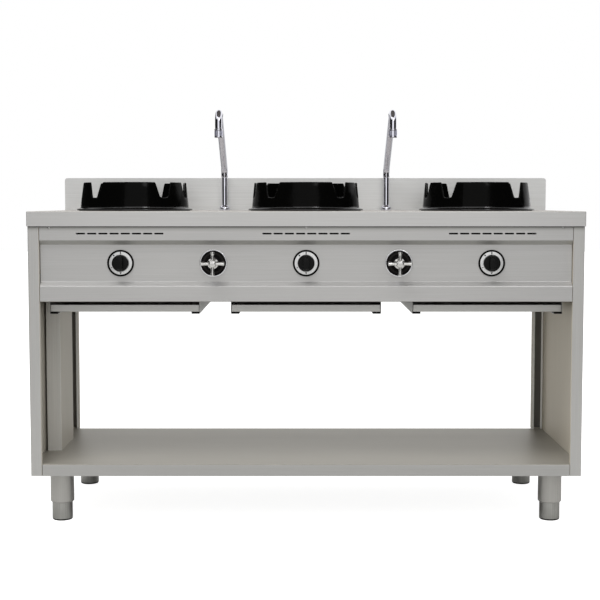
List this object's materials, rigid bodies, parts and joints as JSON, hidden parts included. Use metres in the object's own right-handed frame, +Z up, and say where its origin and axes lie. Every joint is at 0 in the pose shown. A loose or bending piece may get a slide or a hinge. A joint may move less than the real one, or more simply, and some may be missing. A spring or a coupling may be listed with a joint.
{
  "type": "wok range",
  "caption": "Free-standing stainless gas wok range with cast wok rings over sunken burners, swivel water spouts with cross-handle taps, drip trays and a low shelf.",
  "frame": {"origin": "middle of the footprint box, at the floor", "axes": "+Z up, the control panel faces -Y, +X to the right seen from the front"},
  "size_m": [1.5, 0.64, 1.141],
  "materials": {
    "stainless_sheet": "brushed lengthwise, matte sheen",
    "worktop_steel": "brushed lengthwise, matte sheen",
    "shelf_steel": "brushed lengthwise",
    "tray_steel": "brushed",
    "bowl_steel": "spun, heat-darkened",
    "black_iron": "black matte enamel",
    "burner_iron": "cast",
    "valve_brass": "machined",
    "water_brass": "drawn pipe",
    "pipe_steel": "grey painted pipe",
    "spindle_steel": "turned",
    "black_knob": "fine satin",
    "dial_black": "smooth",
    "black_plastic": "moulded",
    "tap_chrome": "polished",
    "leg_steel": "drawn tube",
    "foot_steel": "drawn tube over a plastic end",
    "screw_steel": "plain"
  },
  "bodies": {
    "range_body": {"worktop": "worktop_steel", "rear_upstand": "worktop_steel", "left_side_panel": "stainless_sheet", "right_side_panel": "stainless_sheet", "control_panel": "stainless_sheet", "rear_panel": "stainless_sheet", "bottom_shelf": "shelf_steel", "rear_posts": "stainless_sheet", "service_duct": "stainless_sheet", "cross_rails": "stainless_sheet", "tray_runners": "stainless_sheet", "runner_glides": "black_plastic", "left_burner_bowl": "bowl_steel", "middle_burner_bowl": "bowl_steel", "right_burner_bowl": "bowl_steel", "left_burner": "burner_iron", "middle_burner": "burner_iron", "right_burner": "burner_iron", "burner_brackets": "stainless_sheet", "gas_injectors": "valve_brass", "gas_manifold": "pipe_steel", "left_gas_valve": "valve_brass", "middle_gas_valve": "valve_brass", "right_gas_valve": "valve_brass", "dial_rings": "dial_black", "left_tap_valve": "tap_chrome", "right_tap_valve": "tap_chrome", "tap_discs": "dial_black", "spout_risers": "tap_chrome", "spout_base_nuts": "tap_chrome", "water_pipes": "water_brass", "leg_sleeves": "leg_steel", "screws": "screw_steel"},
    "left_plug_body": {"left_valve_plug": "valve_brass"},
    "left_knob_body": {"left_spindle": "spindle_steel", "left_knob": "black_knob"},
    "middle_plug_body": {"middle_valve_plug": "valve_brass"},
    "middle_knob_body": {"middle_spindle": "spindle_steel", "middle_knob": "black_knob"},
    "right_plug_body": {"right_valve_plug": "valve_brass"},
    "right_knob_body": {"right_spindle": "spindle_steel", "right_knob": "black_knob"},
    "left_handle_body": {"left_cross_handle": "tap_chrome", "left_tap_spindle": "valve_brass"},
    "left_spout_body": {"left_spout": "tap_chrome", "left_aerator": "tap_chrome"},
    "right_handle_body": {"right_cross_handle": "tap_chrome", "right_tap_spindle": "valve_brass"},
    "right_spout_body": {"right_spout": "tap_chrome", "right_aerator": "tap_chrome"},
    "left_tray_body": {"left_drip_tray": "tray_steel"},
    "middle_tray_body": {"middle_drip_tray": "tray_steel"},
    "right_tray_body": {"right_drip_tray": "tray_steel"},
    "left_ring_body": {"left_wok_ring": "black_iron"},
    "middle_ring_body": {"middle_wok_ring": "black_iron"},
    "right_ring_body": {"right_wok_ring": "black_iron"},
    "front_left_foot_body": {"front_left_foot": "foot_steel"},
    "front_right_foot_body": {"front_right_foot": "foot_steel"},
    "rear_left_foot_body": {"rear_left_foot": "foot_steel"},
    "rear_right_foot_body": {"rear_right_foot": "foot_steel"}
  },
  "joints": [
    {"name": "left_valve_turn", "type": "hinge", "parent": "range_body", "child": "left_plug_body", "pos_m": [-0.5, -0.24, 0.71075], "axis": [0, -1, 0], "range_deg": [0, 180]},
    {"name": "left_knob_push", "type": "slide", "parent": "left_plug_body", "child": "left_knob_body", "axis": [0, 1, 0], "range_m": [0, 0.004], "stiffness_N_per_m": 1500, "springref_m": -0.003},
    {"name": "middle_valve_turn", "type": "hinge", "parent": "range_body", "child": "middle_plug_body", "pos_m": [0, -0.24, 0.71075], "axis": [0, -1, 0], "range_deg": [0, 180]},
    {"name": "middle_knob_push", "type": "slide", "parent": "middle_plug_body", "child": "middle_knob_body", "axis": [0, 1, 0], "range_m": [0, 0.004], "stiffness_N_per_m": 1500, "springref_m": -0.003},
    {"name": "right_valve_turn", "type": "hinge", "parent": "range_body", "child": "right_plug_body", "pos_m": [0.5, -0.24, 0.71075], "axis": [0, -1, 0], "range_deg": [0, 180]},
    {"name": "right_knob_push", "type": "slide", "parent": "right_plug_body", "child": "right_knob_body", "axis": [0, 1, 0], "range_m": [0, 0.004], "stiffness_N_per_m": 1500, "springref_m": -0.003},
    {"name": "left_tap_turn", "type": "hinge", "parent": "range_body", "child": "left_handle_body", "pos_m": [-0.25, -0.28, 0.71075], "axis": [0, -1, 0], "range_deg": [0, 180]},
    {"name": "left_spout_swivel", "type": "hinge", "parent": "range_body", "child": "left_spout_body", "pos_m": [-0.25, 0.275, 0.956], "axis": [0, 0, 1], "range_deg": [-110, 50]},
    {"name": "right_tap_turn", "type": "hinge", "parent": "range_body", "child": "right_handle_body", "pos_m": [0.25, -0.28, 0.71075], "axis": [0, -1, 0], "range_deg": [0, 180]},
    {"name": "right_spout_swivel", "type": "hinge", "parent": "range_body", "child": "right_spout_body", "pos_m": [0.25, 0.275, 0.956], "axis": [0, 0, 1], "range_deg": [-50, 110]},
    {"name": "left_tray_slide", "type": "slide", "parent": "range_body", "child": "left_tray_body", "axis": [0, -1, 0], "range_m": [0, 0.4]},
    {"name": "middle_tray_slide", "type": "slide", "parent": "range_body", "child": "middle_tray_body", "axis": [0, -1, 0], "range_m": [0, 0.4]},
    {"name": "right_tray_slide", "type": "slide", "parent": "range_body", "child": "right_tray_body", "axis": [0, -1, 0], "range_m": [0, 0.4]},
    {"name": "left_ring_lift", "type": "slide", "parent": "range_body", "child": "left_ring_body", "axis": [0, 0, 1], "range_m": [0, 0.1]},
    {"name": "middle_ring_lift", "type": "slide", "parent": "range_body", "child": "middle_ring_body", "axis": [0, 0, 1], "range_m": [0, 0.1]},
    {"name": "right_ring_lift", "type": "slide", "parent": "range_body", "child": "right_ring_body", "axis": [0, 0, 1], "range_m": [0, 0.1]},
    {"name": "front_left_foot_screw", "type": "slide", "parent": "range_body", "child": "front_left_foot_body", "axis": [0, 0, -1], "range_m": [0, 0.05]},
    {"name": "front_right_foot_screw", "type": "slide", "parent": "range_body", "child": "front_right_foot_body", "axis": [0, 0, -1], "range_m": [0, 0.05]},
    {"name": "rear_left_foot_screw", "type": "slide", "parent": "range_body", "child": "rear_left_foot_body", "axis": [0, 0, -1], "range_m": [0, 0.05]},
    {"name": "rear_right_foot_screw", "type": "slide", "parent": "range_body", "child": "rear_right_foot_body", "axis": [0, 0, -1], "range_m": [0, 0.05]}
  ]
}
